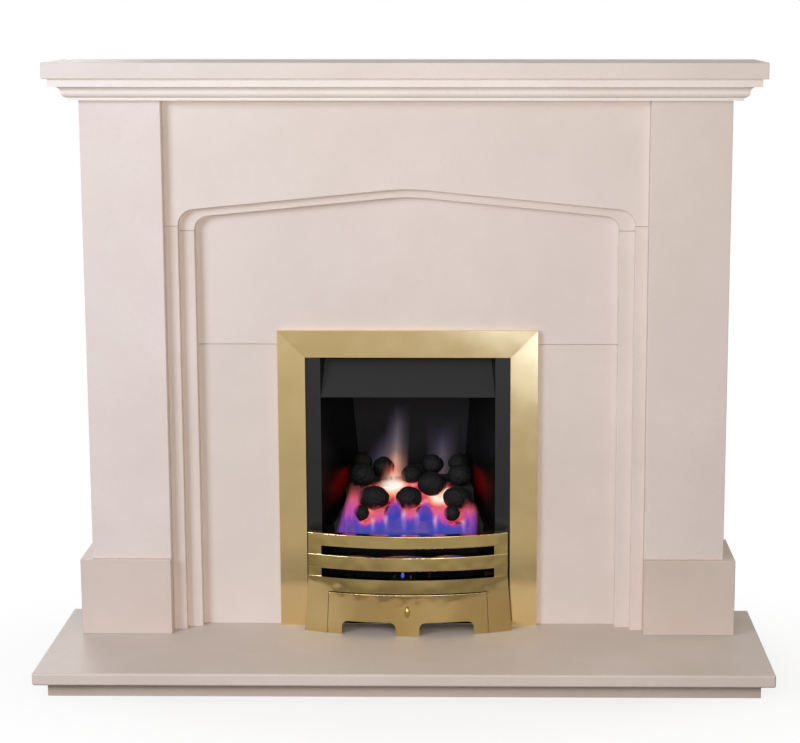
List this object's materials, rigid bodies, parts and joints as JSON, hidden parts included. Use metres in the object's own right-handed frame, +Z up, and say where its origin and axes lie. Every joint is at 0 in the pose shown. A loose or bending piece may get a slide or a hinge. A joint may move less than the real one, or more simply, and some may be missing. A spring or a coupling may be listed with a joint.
{
  "type": "gas fireplace",
  "caption": "Limestone fire surround with moulded mantel and stepped arch on a slab hearth, with an inset coal-effect gas fire in a brass trim and a bowed brass fret",
  "frame": {"origin": "on the floor, on the centre line, at the wall line behind the hearth", "axes": "+X to the viewer's right, +Y into the wall, +Z up; the fire faces -Y"},
  "size_m": [1.372, 0.547, 1.1635],
  "materials": {
    "limestone": "honed",
    "concrete_backing": "matte",
    "polished_brass": "polished",
    "brass_fitting": "satin",
    "black_enamel": "satin",
    "galvanised_steel": "satin",
    "ceramic_coal": "matte",
    "ceramic_matrix": "matte",
    "electrode_ceramic": "satin",
    "valve_casting": "satin",
    "copper_pipe": "satin",
    "knob_plastic": "matte",
    "fibre_seal": "matte"
  },
  "bodies": {
    "fireplace": {"hearth_slab": "limestone", "hearth_riser_front": "limestone", "hearth_riser_returns": "limestone", "plinth_block_left": "limestone", "plinth_block_right": "limestone", "pilaster_left": "limestone", "pilaster_right": "limestone", "frieze_panel": "limestone", "arch_liner": "limestone", "outer_slip_left": "limestone", "outer_slip_right": "limestone", "inner_slip_left": "limestone", "inner_slip_right": "limestone", "bed_mould": "limestone", "mantel_shelf": "limestone", "back_panel_head": "limestone", "back_panel_leg_left": "limestone", "back_panel_leg_right": "limestone", "hearth_backing": "concrete_backing", "trim_left": "polished_brass", "trim_right": "polished_brass", "trim_top": "polished_brass", "injector": "brass_fitting", "pilot_burner": "brass_fitting", "inlet_elbow": "brass_fitting", "fascia": "black_enamel", "hood": "black_enamel", "fireback": "black_enamel", "cheek_left": "black_enamel", "cheek_right": "black_enamel", "fuel_deck": "black_enamel", "burner_pan": "black_enamel", "pan_legs": "black_enamel", "pilot_bracket": "black_enamel", "wall_brackets": "galvanised_steel", "firebox_left_panel": "galvanised_steel", "firebox_right_panel": "galvanised_steel", "firebox_rear_panel": "galvanised_steel", "firebox_base": "galvanised_steel", "firebox_top": "galvanised_steel", "flue_collar": "galvanised_steel", "mixing_tube": "galvanised_steel", "valve_bracket": "galvanised_steel", "thermocouple": "galvanised_steel", "front_coals": "ceramic_coal", "middle_coals": "ceramic_coal", "rear_coals": "ceramic_coal", "back_coals": "ceramic_coal", "fuel_matrix": "ceramic_matrix", "spark_electrode": "electrode_ceramic", "gas_valve": "valve_casting", "supply_pipe": "copper_pipe", "burner_pipe": "copper_pipe", "pilot_pipe": "copper_pipe", "fascia_seal": "fibre_seal"},
    "fret": {"fret": "polished_brass"},
    "ashpan_cover": {"ashpan_cover": "polished_brass", "ashpan_knob": "polished_brass"},
    "valve_spindle": {"valve_spindle": "galvanised_steel"},
    "control_knob": {"control_knob": "knob_plastic"}
  },
  "joints": [
    {"name": "fret_slide", "type": "slide", "parent": "fireplace", "child": "fret", "axis": [0, -1, 0], "range_m": [0, 0.105]},
    {"name": "ashpan_cover_slide", "type": "slide", "parent": "fret", "child": "ashpan_cover", "axis": [0, -1, 0], "range_m": [0, 0.1]},
    {"name": "spindle_turn", "type": "hinge", "parent": "fireplace", "child": "valve_spindle", "pos_m": [0.05, -0.095, 0.105], "axis": [0, -1, 0], "range_deg": [0, 200]},
    {"name": "knob_push", "type": "slide", "parent": "valve_spindle", "child": "control_knob", "axis": [0, 1, 0], "range_m": [0, 0.004], "stiffness_N_per_m": 2000}
  ]
}
